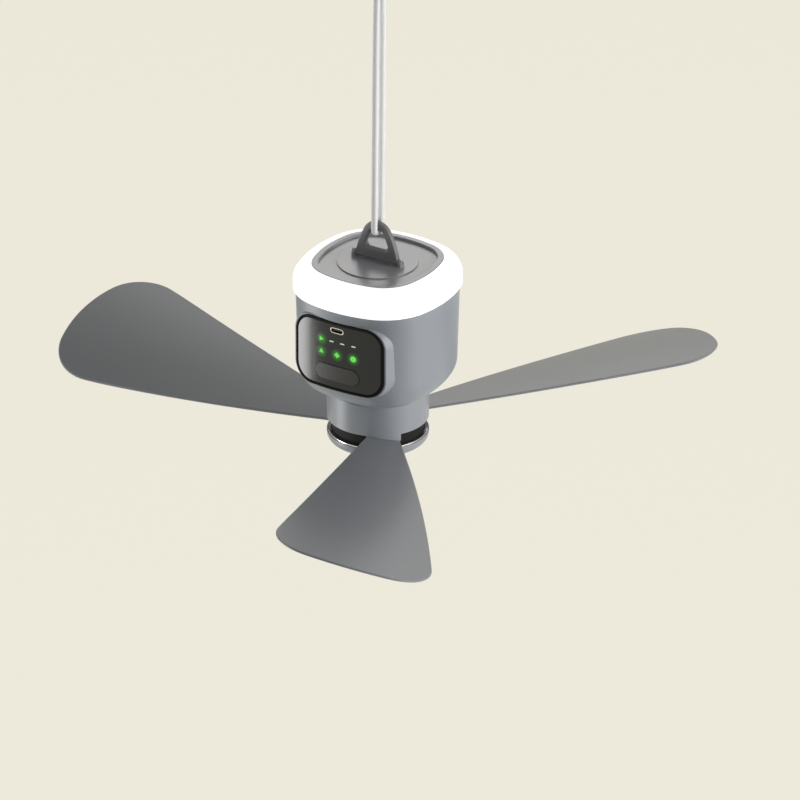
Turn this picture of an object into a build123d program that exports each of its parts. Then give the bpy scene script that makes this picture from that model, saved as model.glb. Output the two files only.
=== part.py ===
from build123d import *
import math
import os

# A rechargeable fan that hangs from a cord: a soft-square body with a lamp ring above it and a
# three-blade rotor below it. Millimetres, +Z up, the control panel faces -Y, and the origin is
# the top of the hook's eye, where the cord bears.

# Overall heights, from the eye downwards
sweep_diameter = 450.0
eye_to_pivot = 19.3
pivot_above_rim = 1.4
diffuser_height = 16.4
housing_height = 68.0
hub_gap = 0.8
hub_height = 20.4
skirt_above_blade = 3.0

# Fits
slip_gap = 0.2
running_gap = 0.02
swing_gap = 0.3
overrun = 2.0

# Soft-square outline of the lamp ring, as side arcs and tangent corner arcs
outline_half = 48.8
outline_side_radius = 84.0
outline_corner_radius = 34.5

# Hook, its pin and its ears
hook_thickness = 3.8
eye_radius = 5.2
eye_depth = 12.6
eye_flare_angle = 23.0
eye_corner_radius = 2.5
eye_edge_round = 1.8
hook_bar = 5.0
hook_flare_angle = 29.0
hook_edge_round = 1.1
hook_base_half = 15.4
barrel_radius = 2.0
pin_radius = 1.0
ear_width = 2.0
ear_radius = 2.2

# Hanging cord
cord_radius = 2.0
cord_hug_gap = 0.1
cord_lean_angle = 0.58
strand_length = 166.8
knot_height = 18.0
knot_radius = 8.6
knot_end_radius = 8.1
ceiling_hook_radius = 4.0
loop_leg = 24.0

# Top cover
cover_inset = 11.3
cover_lip = 1.6
cover_lip_overlap = 2.1
cover_rim_width = 4.2
cover_trough_depth = 1.6
cover_floor = 2.4
island_radius = 25.0
cover_rim_round = 0.7

# Lamp ring, its chassis and its lamp board
diffuser_wall = 2.0
diffuser_round = 11.0
diffuser_flange = 1.9
chassis_drop = 4.0
chassis_plate = 3.0
tower_inset = 11.7
tower_wall = 4.4
led_board_inset = 5.2
led_board_width = 3.6
led_board_thickness = 1.2
led_size = 2.8
led_height = 0.9
led_count = 32

# Housing shell
housing_inset = 1.5
housing_wall = 2.4
housing_draft_angle = 1.7
belly_radius = 18.0
post_place = 27.0
post_radius = 4.0

# Front pad and control panel
face_radius = 146.0
face_reach = 47.2
panel_width = 63.0
panel_height = 46.0
panel_corner = 12.5
panel_below_seam = 30.75
panel_edge_round = 0.6
panel_thickness = 2.4
bezel_width = 1.25
bezel_proud = 0.25
pad_border = 1.1
pad_set_back = 0.4
pad_round = 0.8
pad_depth = 16.0
pad_draft_angle = 14.0
seat_depth = 7.7
seat_border = 2.0
window_margin = 1.2

# Things on the panel, as heights over its middle
usb_rise = 17.5
usb_width = 9.6
usb_height = 3.8
usb_wall = 0.6
usb_set_back = 0.2
usb_tongue_width = 6.7
usb_tongue_height = 0.7
usb_tongue_set_back = 1.2
usb_back_wall = 1.0
row_1_rise = 9.75
row_1_step = 7.8
row_1_shares = (-1.5, -0.5, 0.5, 1.5)
row_2_rise = 1.25
row_2_step = 11.5
row_2_shares = (-1, 0, 1)
mark_radius = 2.0
triangle_sides = 3
diamond_sides = 4
bar_length = 3.0
bar_height = 0.8
light_pipe_gap = 0.4
button_drop = 11.6
button_width = 31.0
button_height = 10.3
button_proud = 0.35
button_travel = 0.8
button_flange = 1.0
button_flange_border = 1.0
button_stem_radius = 2.5
button_press_gap = 0.1

# Control board behind the panel
board_depth = 9.0
board_thickness = 1.6
board_width = 55.0
board_height = 39.0
board_post_x = 23.0
board_post_z = 15.5
board_post_radius = 2.3
board_corner = 8.0
switch_size = 6.0
switch_height = 3.0
switch_plunger_radius = 1.7
switch_plunger = 0.8
chip_size = 1.6
chip_height = 0.8

# Battery pack
cell_radius = 9.15
cell_length = 65.0
cell_gap = 1.0
cell_seat_gap = 0.15
tray_leg = 10.0
tray_base = 3.0
tray_margin = 0.5
tray_wall = 2.2
tray_post_x = 24.0
tray_post_y = 14.0
tray_post_radius = 3.5
strip_thickness = 0.3
strip_width = 7.0
strip_overlap = 3.4
battery_board_width = 24.0
battery_board_height = 22.0
battery_board_thickness = 1.2

# Motor
base_radius = 22.0
base_flange = 2.5
tube_radius = 7.0
tube_shoulder = 1.0
tube_below_stator = 0.5
bearing_radius = 5.5
bearing_width = 4.0
bearing_step = 1.0
shaft_radius = 1.98
clip_radius = 3.6
clip_height = 0.7
clip_gap = 0.2
shaft_above_clip = 1.4
stator_height = 8.0
stator_above_can = 1.6
stator_yoke = 4.0
stator_tip = 2.0
stator_slot = 2.0
tooth_count = 9
tooth_width = 3.6
coil_wall = 1.6
coil_overhang = 1.2
coil_end_gap = 0.5
air_gap = 0.6
magnet_thickness = 2.4
magnet_rise = 0.6
motor_board_radius = 19.5
motor_board_thickness = 1.2
motor_board_drop = 0.6

# Rotor hub
hub_radius = 31.5
hub_wall = 2.2
hub_edge_round = 0.5
web_above_skirt = 2.0
web_thickness = 2.4
can_radius = 26.5
can_wall = 1.5
can_height = 13.0
can_boss_radius = 5.0
carrier_radius = 28.6
carrier_below_blade = 7.4
carrier_recess_radius = 15.0
carrier_recess = 2.5
cap_rim_below_blade = 6.4
cap_below_blade = 13.0
cap_round = 5.0
cap_hollow = 2.4
cap_hollow_inner = 16.5
cap_hollow_outer = 28.2
chrome_height = 1.0
chrome_set_back = 0.5

# Blades, in their own frame: X outwards, Y the way the blade trails, Z up
blade_count = 3
first_blade_angle = -54.45
blade_thickness = 1.6
blade_edge_chamfer = 0.5
blade_root_reach = 30.0
blade_root_lead = 8.8
blade_root_trail = 11.8
blade_tongue = 13.0
tip_lead_reach_share = 0.8848
tip_lead_side_share = 0.3523
tip_trail_reach_share = 0.9616
tip_trail_side_share = 0.0896
tip_lead_radius = 28.3
tip_trail_radius = 31.1
tip_bow = 15.1
lead_bow = 0.42
trail_bow = 3.95
root_pitch_angle = 12.0
tip_pitch_angle = 21.32
pitch_side = 4.58
camber_half = 50.0
camber_drop = 3.56
tab_margin = 0.6
tab_gap = 0.1
blade_fit_gap = 0.15

# Screws
screw_radius = 1.3
screw_head_radius = 2.6
screw_head_height = 1.7
screw_slot_width = 0.7
screw_slot_depth = 0.8
small_screw_radius = 1.0
small_head_radius = 1.9
small_head_height = 1.3
screw_bite = 6.0
cover_screw_place = 12.0
cover_screw_boss = 4.2
cover_screw_seat = 4.0
cover_screw_bite = 2.2
chassis_screw_seat = 8.2
chassis_screw_bite = 9.8
hub_screw_place = 12.0
carrier_screw_place = 22.0
carrier_screw_seat = 3.4
carrier_screw_bite = 11.0
cap_screw_place = 11.0
cap_screw_seat = 2.0
blade_screw_reach = 22.5
blade_screw_step = 5.4
blade_screw_shares = (-0.5, 0.5)
blade_screw_short = 0.3
base_screw_place = 16.0
motor_screw_count = 3
base_screw_bite = 1.9

# Levels worked out from the heights above
pivot_z = -eye_to_pivot
rim_z = pivot_z - pivot_above_rim
seam_z = rim_z - diffuser_height
floor_z = seam_z - housing_height
floor_top_z = floor_z + housing_wall
hub_top_z = floor_z - hub_gap
skirt_z = hub_top_z - hub_height
blade_z = skirt_z - skirt_above_blade
web_z = skirt_z + web_above_skirt
can_z = web_z + web_thickness
can_floor_z = can_z + can_wall
stator_z = can_floor_z + stator_above_can
stator_top_z = stator_z + stator_height
tube_z = stator_z - tube_below_stator
flange_top_z = floor_top_z + base_flange
island_z = pivot_z - barrel_radius - swing_gap
trough_z = rim_z - cover_trough_depth
cover_bottom_z = trough_z - cover_floor
lip_z = rim_z - cover_lip
flange_z = lip_z - diffuser_flange
chassis_z = seam_z - chassis_drop
plate_top_z = chassis_z + chassis_plate
panel_z = seam_z - panel_below_seam
tray_z = floor_top_z + tray_leg
tray_top_z = tray_z + tray_base
cell_z = tray_top_z + cell_seat_gap + cell_radius
cell_step = 2 * cell_radius + cell_gap
carrier_z = blade_z - carrier_below_blade
cap_rim_z = blade_z - cap_rim_below_blade
cap_z = blade_z - cap_below_blade
chassis_seat_z = chassis_z - chassis_screw_seat
cover_seat_z = cover_bottom_z - cover_screw_seat

# Sizes worked out from the others
sweep_radius = sweep_diameter / 2
eye_flare = math.radians(eye_flare_angle)
eye_flare_drop = eye_depth - eye_radius * (1 - math.sin(eye_flare))
eye_foot_half = eye_radius * math.cos(eye_flare) + eye_flare_drop * math.tan(eye_flare)
face_axis_y = face_radius - face_reach
face_sag = face_radius - math.sqrt(face_radius**2 - (panel_width / 2) ** 2)
pad_rear = face_reach - pad_depth
pad_foot_border = pad_border + (pad_depth - face_sag) * math.tan(math.radians(pad_draft_angle))
seat_rear = face_reach - seat_depth
board_reach = face_reach - board_depth
side_offset = outline_side_radius - outline_half
side_minus_corner = outline_side_radius - outline_corner_radius
corner_offset = (math.sqrt(2 * side_minus_corner**2 - side_offset**2) - side_offset) / 2
side_half_angle = math.degrees(math.atan2(corner_offset, corner_offset + side_offset))
stator_radius = can_radius - can_wall - magnet_thickness - air_gap
strand_reach = hook_thickness / 2 + cord_radius + cord_hug_gap
window_width = panel_width - 2 * (bezel_width + window_margin)
window_height = panel_height - 2 * (bezel_width + window_margin)
window_corner = panel_corner - bezel_width - window_margin
cell_side = cell_step / 2
tray_length = cell_length + 2 * (strip_thickness + tray_wall)
tray_depth = 2 * (cell_step - tray_margin)
blade_turns = [first_blade_angle + turn * 360 / blade_count for turn in range(blade_count)]
gap_turn = first_blade_angle + 180 / blade_count

# Planes
panel_plane = Plane(origin=(0, 0, panel_z), x_dir=(1, 0, 0), z_dir=(0, -1, 0))
hook_plane = Plane(origin=(0, 0, 0), x_dir=(1, 0, 0), z_dir=(0, -1, 0))
pivot_plane = Plane(origin=(0, 0, pivot_z), x_dir=(0, 1, 0), z_dir=(1, 0, 0))

os.makedirs("parts", exist_ok=True)


def write(builder, name):
    """Label a finished piece and write it under its name."""
    builder.part.label = name
    export_step(builder.part, f"parts/{name}.step")


def squircle(inset):
    """Return the soft-square outline, drawn in by an inset, as a face."""
    with BuildSketch() as outline:
        with BuildLine():
            for turn in range(0, 360, 90):
                side_centre = Vector(-side_offset, 0).rotate(Axis.Z, turn)
                corner_centre = Vector(corner_offset, corner_offset).rotate(Axis.Z, turn)
                side_start = turn - side_half_angle
                corner_start = turn + side_half_angle
                corner_sweep = 90 - 2 * side_half_angle
                CenterArc(side_centre, outline_side_radius - inset, side_start, 2 * side_half_angle)
                CenterArc(corner_centre, outline_corner_radius - inset, corner_start, corner_sweep)
        make_face()
    return outline.sketch


def squircle_ring(inset, width):
    """Return a band of the soft-square outline, as a face."""
    with BuildSketch() as band:
        add(squircle(inset))
        add(squircle(inset + width), mode=Mode.SUBTRACT)
    return band.sketch


def face_band(lift, depth):
    """Return the panel's curved front, lifted and as deep as asked, as a face seen from above."""
    with BuildSketch() as band:
        with Locations((0, face_axis_y)):
            Circle(face_radius + lift)
            Circle(face_radius + lift - depth, mode=Mode.SUBTRACT)
    return band.sketch


def curved_plate(outline, lift, depth):
    """Return an outline on the panel's front as a plate that follows its curve."""
    with BuildPart() as plate:
        with BuildSketch(Plane.XY.offset(panel_z - panel_height)):
            add(face_band(lift, depth))
        extrude(amount=2 * panel_height)
        with BuildSketch(panel_plane):
            add(outline)
        extrude(amount=face_radius, mode=Mode.INTERSECT)
    return plate.part


def curved_block(outline, rear, lift):
    """Return an outline on the panel's front as a block from a flat rear to the lifted curve."""
    with BuildPart() as block:
        with BuildSketch(panel_plane.offset(rear)):
            add(outline)
        extrude(amount=face_radius)
        with BuildSketch(Plane.XY.offset(panel_z - panel_height)):
            with Locations((0, face_axis_y)):
                Circle(face_radius + lift)
        extrude(amount=2 * panel_height, mode=Mode.INTERSECT)
    return block.part


def panel_outline(grow):
    """Return the panel frame's rounded outline, grown by a border, as a face."""
    with BuildSketch() as outline:
        RectangleRounded(panel_width + 2 * grow, panel_height + 2 * grow, panel_corner + grow)
    return outline.sketch


def button_outline(grow):
    """Return the button's capsule, grown by a gap, as a face."""
    with BuildSketch() as outline:
        with Locations((0, -button_drop)):
            SlotOverall(button_width + 2 * grow, button_height + 2 * grow)
    return outline.sketch


def usb_outline(grow):
    """Return the charging port's outline, grown by a gap, as a face."""
    with BuildSketch() as outline:
        with Locations((0, usb_rise)):
            SlotOverall(usb_width + 2 * grow, usb_height + 2 * grow)
    return outline.sketch


def green_marks(grow):
    """Return the four green lamp windows, grown by a gap, as faces."""
    with BuildSketch() as marks:
        with Locations((row_1_shares[0] * row_1_step, row_1_rise)):
            RegularPolygon(mark_radius + grow, triangle_sides)
        with Locations((-row_2_step, row_2_rise)):
            RegularPolygon(mark_radius + grow, triangle_sides, rotation=90)
        with Locations((0, row_2_rise)):
            RegularPolygon(mark_radius + grow, diamond_sides)
        with Locations((row_2_step, row_2_rise)):
            Circle(mark_radius + grow)
    return marks.sketch


def white_bars(grow):
    """Return the three white level windows, grown by a gap, as faces."""
    with BuildSketch() as bars:
        with Locations(*[(row_1_step * place, row_1_rise) for place in row_1_shares[1:]]):
            SlotOverall(bar_length + 2 * grow, bar_height + 2 * grow)
    return bars.sketch


def lamp_places():
    """Return the middle of each lamp window on the panel."""
    upper = [(row_1_step * place, row_1_rise) for place in row_1_shares]
    lower = [(row_2_step * place, row_2_rise) for place in row_2_shares]
    return upper + lower


def screw(radius, bite, head_radius, head_height):
    """Return a cross-slotted screw whose head seats on z = 0 with its shank along +Z."""
    with BuildPart() as fastener:
        with BuildSketch():
            Circle(radius)
        extrude(amount=bite)
        with BuildSketch():
            Circle(head_radius)
        extrude(amount=-head_height)
        with BuildSketch(Plane.XY.offset(-head_height)):
            Rectangle(head_radius, screw_slot_width)
            Rectangle(screw_slot_width, head_radius)
        extrude(amount=screw_slot_depth, mode=Mode.SUBTRACT)
    return fastener.part


def blade_section(reach, lift, depth):
    """Return the blade's arched cross-section at a reach, as a face."""
    run = (reach - blade_root_reach) / (sweep_radius - blade_root_reach)
    slope = math.tan(math.radians(root_pitch_angle + (tip_pitch_angle - root_pitch_angle) * run))
    lead = -sweep_radius * tip_lead_side_share - tip_lead_radius
    trail = sweep_radius * tip_trail_side_share + tip_lead_radius
    sides = (lead, (lead + trail) / 2, trail)
    tops = []
    for side in sides:
        over = side - pitch_side
        tops.append(lift - over * slope - camber_drop * (over / camber_half) ** 2)
    with BuildSketch() as section:
        with BuildLine():
            upper = ThreePointArc(*[(side, top) for side, top in zip(sides, tops)])
            lower = ThreePointArc(*[(side, top - depth) for side, top in zip(sides, tops)])
            Line(upper @ 0, lower @ 0)
            Line(upper @ 1, lower @ 1)
        make_face()
    return section.sketch


def blade_slab(lift, depth):
    """Return the twisted slab that blades, their pockets and their tabs are cut from."""
    inner = blade_root_reach - blade_tongue - overrun
    outer = sweep_radius + blade_tongue
    with BuildPart() as slab:
        for reach in (inner, outer):
            with BuildSketch(Plane(origin=(reach, 0, blade_z), x_dir=(0, 1, 0), z_dir=(1, 0, 0))):
                add(blade_section(reach, lift, depth))
        loft(ruled=True)
    return slab.part


def blade_outline():
    """Return the blade's outline seen from above, with its root tongue, as a face."""
    tip_lead = Vector(sweep_radius * tip_lead_reach_share, -sweep_radius * tip_lead_side_share)
    tip_trail = Vector(sweep_radius * tip_trail_reach_share, sweep_radius * tip_trail_side_share)
    root_lead = Vector(blade_root_reach, -blade_root_lead)
    root_trail = Vector(blade_root_reach, blade_root_trail)
    lead_middle = (root_lead + tip_lead) / 2 - Vector(0, lead_bow)
    trail_middle = (root_trail + tip_trail) / 2 + Vector(0, trail_bow)
    along_tip = (tip_trail - tip_lead).normalized()
    tip_middle = (tip_lead + tip_trail) / 2 + Vector(along_tip.Y, -along_tip.X) * tip_bow
    with BuildSketch() as outline:
        with BuildLine():
            Line(root_lead - Vector(blade_tongue, 0), root_lead)
            ThreePointArc(root_lead, lead_middle, tip_lead)
            ThreePointArc(tip_lead, tip_middle, tip_trail)
            ThreePointArc(tip_trail, trail_middle, root_trail)
            Line(root_trail, root_trail - Vector(blade_tongue, 0))
            Line(root_trail - Vector(blade_tongue, 0), root_lead - Vector(blade_tongue, 0))
        make_face()
        corners = outline.vertices().sort_by(Axis.X)[-2:].sort_by(Axis.Y)
        fillet(corners[0], tip_lead_radius)
        fillet(outline.vertices().sort_by_distance(tip_trail)[0], tip_trail_radius)
    return outline.sketch


def hairpin(plane, spacing, leg, radius):
    """Return a cord tube with two straight legs and a half turn, in a plane whose Y is along the legs."""
    with BuildPart() as tube:
        with BuildLine(plane) as route:
            Line((-spacing, leg), (-spacing, 0))
            turn = CenterArc((0, 0), spacing, 180, 180)
            Line(turn @ 1, (spacing, leg))
        with BuildSketch(Plane(origin=route.line @ 0, z_dir=route.line % 0)):
            Circle(radius)
        sweep()
    length = 2 * leg + math.pi * spacing
    share = tube.part.volume / (math.pi * radius**2 * length)
    print(f"cord bend radius {spacing:.2f}, tube volume over section times length {share:.4f}")
    return tube.part


# Hook: an arched plate round the eye, flared towards a barrel for the pin
with BuildPart() as hook_bail:
    with BuildSketch(hook_plane):
        with BuildLine():
            crown_sweep = 180 - 2 * hook_flare_angle
            crown = CenterArc((0, -eye_radius), eye_radius + hook_bar, hook_flare_angle, crown_sweep)
            TangentArc(crown @ 1, (-hook_base_half, pivot_z), tangent=crown % 1)
            TangentArc(crown @ 0, (hook_base_half, pivot_z), tangent=-(crown % 0))
            Line((-hook_base_half, pivot_z), (hook_base_half, pivot_z))
        make_face()
    extrude(amount=hook_thickness / 2, both=True)
    broad_faces = hook_bail.faces().filter_by(Axis.Y)
    outer_rims = broad_faces.edges().filter_by(lambda rim: rim.center().Z > pivot_z + swing_gap)
    fillet(outer_rims, hook_edge_round)
    with BuildSketch(hook_plane) as eye:
        with BuildLine():
            arch_sweep = 180 - 2 * eye_flare_angle
            arch = CenterArc((0, -eye_radius), eye_radius, eye_flare_angle, arch_sweep)
            Line(arch @ 1, (-eye_foot_half, -eye_depth))
            Line((-eye_foot_half, -eye_depth), (eye_foot_half, -eye_depth))
            Line((eye_foot_half, -eye_depth), arch @ 0)
        make_face()
        fillet(eye.vertices().sort_by(Axis.Y)[:2], eye_corner_radius)
    extrude(amount=hook_thickness, both=True, mode=Mode.SUBTRACT)
    broad_faces = hook_bail.faces().filter_by(Axis.Y)
    eye_rims = [wire.edges() for face in broad_faces for wire in face.inner_wires()]
    fillet(ShapeList(rim for rims in eye_rims for rim in rims), eye_edge_round)
    with BuildSketch(pivot_plane):
        Circle(barrel_radius)
    extrude(amount=hook_base_half, both=True)
    with BuildSketch(pivot_plane):
        Circle(pin_radius + running_gap)
    extrude(amount=hook_base_half + overrun, both=True, mode=Mode.SUBTRACT)
write(hook_bail, "hook_bail")

# Pin through the hook's barrel, pressed into both ears
with BuildPart() as hook_pin:
    with BuildSketch(pivot_plane):
        Circle(pin_radius)
    extrude(amount=hook_base_half + swing_gap + ear_width, both=True)
write(hook_pin, "hook_pin")

# Cord: two taut strands round the hook's crown, a knot above them and the loop it hangs by
cord_bend_z = strand_reach - cord_radius - cord_hug_gap
cord_side = Vector(1, 0, 0).rotate(Axis.Y, cord_lean_angle)
cord_plane = Plane(origin=(0, 0, cord_bend_z), x_dir=(0, 1, 0), z_dir=cord_side)
loop_rise = strand_length + knot_height + loop_leg
loop_origin = cord_plane.from_local_coords(Vector(0, loop_rise, 0))
loop_plane = Plane(origin=loop_origin, x_dir=(0, 1, 0), z_dir=-cord_side)

with BuildPart() as hanging_cord:
    add(hairpin(cord_plane, strand_reach, strand_length, cord_radius))
write(hanging_cord, "hanging_cord")

with BuildPart() as cord_loop:
    add(hairpin(loop_plane, ceiling_hook_radius + cord_radius, loop_leg, cord_radius))
write(cord_loop, "cord_loop")

with BuildPart() as cord_knot:
    with BuildSketch(cord_plane):
        with BuildLine():
            knot_top = strand_length + knot_height
            knot_middle = strand_length + knot_height / 2
            knot_low = (knot_end_radius, strand_length)
            knot_high = (knot_end_radius, knot_top)
            Line((0, knot_top), (0, strand_length))
            Line((0, strand_length), knot_low)
            ThreePointArc(knot_low, (knot_radius, knot_middle), knot_high)
            Line(knot_high, (0, knot_top))
        make_face()
    revolve(axis=Axis(cord_plane.origin, cord_plane.y_dir))
write(cord_knot, "cord_knot")

# Top cover: a raised rim, a shallow trough and a round island that carries the ears
with BuildPart() as top_cover:
    with BuildSketch(Plane.XY.offset(lip_z)):
        add(squircle(cover_inset))
    extrude(amount=cover_lip)
    with BuildSketch(Plane.XY.offset(cover_bottom_z)):
        add(squircle(cover_inset + cover_lip_overlap))
    extrude(amount=lip_z - cover_bottom_z)
    with BuildSketch(Plane.XY.offset(trough_z)):
        add(squircle(cover_inset + cover_rim_width))
    extrude(amount=cover_trough_depth + overrun, mode=Mode.SUBTRACT)
    fillet(top_cover.faces().sort_by(Axis.Z)[-1].edges(), cover_rim_round)
    with BuildSketch(Plane.XY.offset(trough_z)):
        Circle(island_radius)
    extrude(amount=island_z - trough_z)
    for side in (-1, 1):
        ear_x = side * (hook_base_half + swing_gap)
        with BuildSketch(pivot_plane.offset(ear_x)):
            Circle(ear_radius)
            with Locations((0, (island_z - pivot_z) / 2)):
                Rectangle(2 * ear_radius, pivot_z - island_z)
        extrude(amount=side * ear_width)
    with BuildSketch(pivot_plane):
        Circle(pin_radius)
    extrude(amount=hook_base_half + swing_gap + ear_width, both=True, mode=Mode.SUBTRACT)
    with BuildSketch(Plane.XY.offset(cover_bottom_z)):
        with GridLocations(2 * cover_screw_place, 2 * cover_screw_place, 2, 2):
            Circle(screw_radius)
    extrude(amount=cover_screw_bite, mode=Mode.SUBTRACT)
write(top_cover, "top_cover")

# Lamp ring: a rounded white shell whose inner flange lies under the cover's lip
with BuildPart() as lamp_cavity:
    with BuildSketch(Plane.XY.offset(seam_z)):
        add(squircle(diffuser_wall))
    extrude(amount=flange_z - seam_z)
    fillet(lamp_cavity.faces().sort_by(Axis.Z)[-1].edges(), diffuser_round - diffuser_wall)

with BuildPart() as light_diffuser:
    with BuildSketch(Plane.XY.offset(seam_z)):
        add(squircle(0))
    extrude(amount=diffuser_height)
    fillet(light_diffuser.faces().sort_by(Axis.Z)[-1].edges(), diffuser_round)
    add(lamp_cavity.part, mode=Mode.SUBTRACT)
    with BuildSketch(Plane.XY.offset(seam_z)):
        add(squircle(cover_inset + cover_lip_overlap - slip_gap))
    extrude(amount=diffuser_height + overrun, mode=Mode.SUBTRACT)
    with BuildSketch(Plane.XY.offset(lip_z)):
        add(squircle(cover_inset - slip_gap))
    extrude(amount=cover_lip + overrun, mode=Mode.SUBTRACT)
write(light_diffuser, "light_diffuser")

# Lamp chassis: closes the housing and carries the cover on a tower
with BuildPart() as light_chassis:
    with BuildSketch(Plane.XY.offset(chassis_z)):
        add(squircle(housing_inset + housing_wall + slip_gap))
    extrude(amount=chassis_plate)
    with BuildSketch(Plane.XY.offset(plate_top_z)):
        add(squircle_ring(tower_inset, tower_wall))
        with GridLocations(2 * cover_screw_place, 2 * cover_screw_place, 2, 2):
            Circle(cover_screw_boss)
    extrude(amount=cover_bottom_z - plate_top_z)
    with BuildSketch(Plane.XY.offset(plate_top_z)):
        add(squircle_ring(tower_inset, cover_inset + cover_lip_overlap - slip_gap - tower_inset))
    extrude(amount=flange_z - plate_top_z)
    with BuildSketch(Plane.XY.offset(chassis_z)):
        with GridLocations(2 * cover_screw_place, 2 * cover_screw_place, 2, 2):
            Circle(screw_head_radius + slip_gap)
    extrude(amount=cover_seat_z - chassis_z, mode=Mode.SUBTRACT)
    with BuildSketch(Plane.XY.offset(cover_seat_z)):
        with GridLocations(2 * cover_screw_place, 2 * cover_screw_place, 2, 2):
            Circle(screw_radius + slip_gap)
    extrude(amount=cover_screw_seat + overrun, mode=Mode.SUBTRACT)
    with BuildSketch(Plane.XY.offset(chassis_z)):
        with GridLocations(2 * post_place, 2 * post_place, 2, 2):
            Circle(screw_radius)
    extrude(amount=chassis_screw_bite, mode=Mode.SUBTRACT)
write(light_chassis, "light_chassis")

cover_screw_length = cover_screw_seat + cover_screw_bite
with BuildPart() as cover_screws:
    with GridLocations(2 * cover_screw_place, 2 * cover_screw_place, 2, 2):
        with Locations((0, 0, cover_seat_z)):
            add(screw(screw_radius, cover_screw_length, screw_head_radius, screw_head_height))
write(cover_screws, "cover_screws")

chassis_screw_length = chassis_screw_seat + chassis_screw_bite
with BuildPart() as chassis_screws:
    with GridLocations(2 * post_place, 2 * post_place, 2, 2):
        with Locations((0, 0, chassis_seat_z)):
            add(screw(screw_radius, chassis_screw_length, screw_head_radius, screw_head_height))
write(chassis_screws, "chassis_screws")

with BuildPart() as led_board:
    with BuildSketch(Plane.XY.offset(plate_top_z)):
        add(squircle_ring(led_board_inset, led_board_width))
    extrude(amount=led_board_thickness)
write(led_board, "led_board")

led_path = squircle(led_board_inset + led_board_width / 2).face().outer_wire()
with BuildPart() as led_chips:
    with BuildSketch(Plane.XY.offset(plate_top_z + led_board_thickness)):
        with Locations(*[led_path.position_at(place / led_count) for place in range(led_count)]):
            Rectangle(led_size, led_size)
    extrude(amount=led_height)
write(led_chips, "led_chips")

# Housing: a drafted soft-square cup with a raised pad in front and posts left standing inside
with BuildPart() as housing_cavity:
    with BuildSketch(Plane.XY.offset(seam_z)):
        add(squircle(housing_inset + housing_wall))
    extrude(amount=housing_wall - housing_height, taper=housing_draft_angle)
    fillet(housing_cavity.faces().sort_by(Axis.Z)[0].edges(), belly_radius - housing_wall)
    with BuildSketch(Plane.XY.offset(chassis_z)):
        with GridLocations(2 * post_place, 2 * post_place, 2, 2):
            Circle(post_radius)
    extrude(amount=-housing_height, mode=Mode.SUBTRACT)
    with BuildSketch(Plane.XY.offset(tray_z)):
        with GridLocations(2 * tray_post_x, 2 * tray_post_y, 2, 2):
            Circle(tray_post_radius)
    extrude(amount=-housing_height, mode=Mode.SUBTRACT)
    add(curved_block(panel_outline(seat_border), seat_rear, 0), mode=Mode.SUBTRACT)

with BuildPart() as front_pad:
    with BuildSketch(panel_plane.offset(pad_rear)):
        add(panel_outline(pad_foot_border))
    extrude(amount=pad_depth + overrun, taper=pad_draft_angle)
    with BuildSketch(Plane.XY.offset(panel_z - panel_height)):
        with Locations((0, face_axis_y)):
            Circle(face_radius - pad_set_back)
    extrude(amount=2 * panel_height, mode=Mode.INTERSECT)
    fillet(front_pad.faces().sort_by(Axis.Y)[0].edges(), pad_round)

with BuildPart() as main_housing:
    with BuildSketch(Plane.XY.offset(seam_z)):
        add(squircle(housing_inset))
    extrude(amount=-housing_height, taper=housing_draft_angle)
    fillet(main_housing.faces().sort_by(Axis.Z)[0].edges(), belly_radius)
    add(front_pad.part)
    add(housing_cavity.part, mode=Mode.SUBTRACT)
    add(curved_plate(panel_outline(slip_gap), overrun, panel_thickness + overrun), mode=Mode.SUBTRACT)
    with BuildSketch(panel_plane.offset(pad_rear)):
        RectangleRounded(window_width, window_height, window_corner)
    extrude(amount=face_radius, mode=Mode.SUBTRACT)
    with BuildSketch(Plane.XY.offset(chassis_seat_z)):
        with GridLocations(2 * post_place, 2 * post_place, 2, 2):
            Circle(screw_head_radius + slip_gap)
    extrude(amount=-housing_height, mode=Mode.SUBTRACT)
    with BuildSketch(Plane.XY.offset(chassis_seat_z)):
        with GridLocations(2 * post_place, 2 * post_place, 2, 2):
            Circle(screw_radius + slip_gap)
    extrude(amount=chassis_screw_seat + overrun, mode=Mode.SUBTRACT)
    with BuildSketch(Plane.XY.offset(tray_z)):
        with GridLocations(2 * tray_post_x, 2 * tray_post_y, 2, 2):
            Circle(screw_radius)
    extrude(amount=-screw_bite, mode=Mode.SUBTRACT)
    with BuildSketch(Plane.XY.offset(floor_top_z)):
        Circle(tube_radius + tube_shoulder + slip_gap)
    extrude(amount=-housing_wall - overrun, mode=Mode.SUBTRACT)
    with BuildSketch(Plane.XY.offset(floor_top_z)):
        with PolarLocations(base_screw_place, motor_screw_count):
            Circle(screw_radius)
    extrude(amount=-base_screw_bite, mode=Mode.SUBTRACT)
write(main_housing, "main_housing")

# Front panel: a black frame round a curved panel that carries the control board on posts
post_sag = board_post_x**2 / (2 * face_radius)
post_length = face_reach - post_sag - panel_thickness / 2 - board_reach

with BuildPart() as panel_bezel:
    add(curved_plate(panel_outline(0), bezel_proud, panel_thickness + bezel_proud))
    with BuildSketch(panel_plane):
        add(panel_outline(-bezel_width))
    extrude(amount=face_radius, mode=Mode.SUBTRACT)
write(panel_bezel, "panel_bezel")

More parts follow.
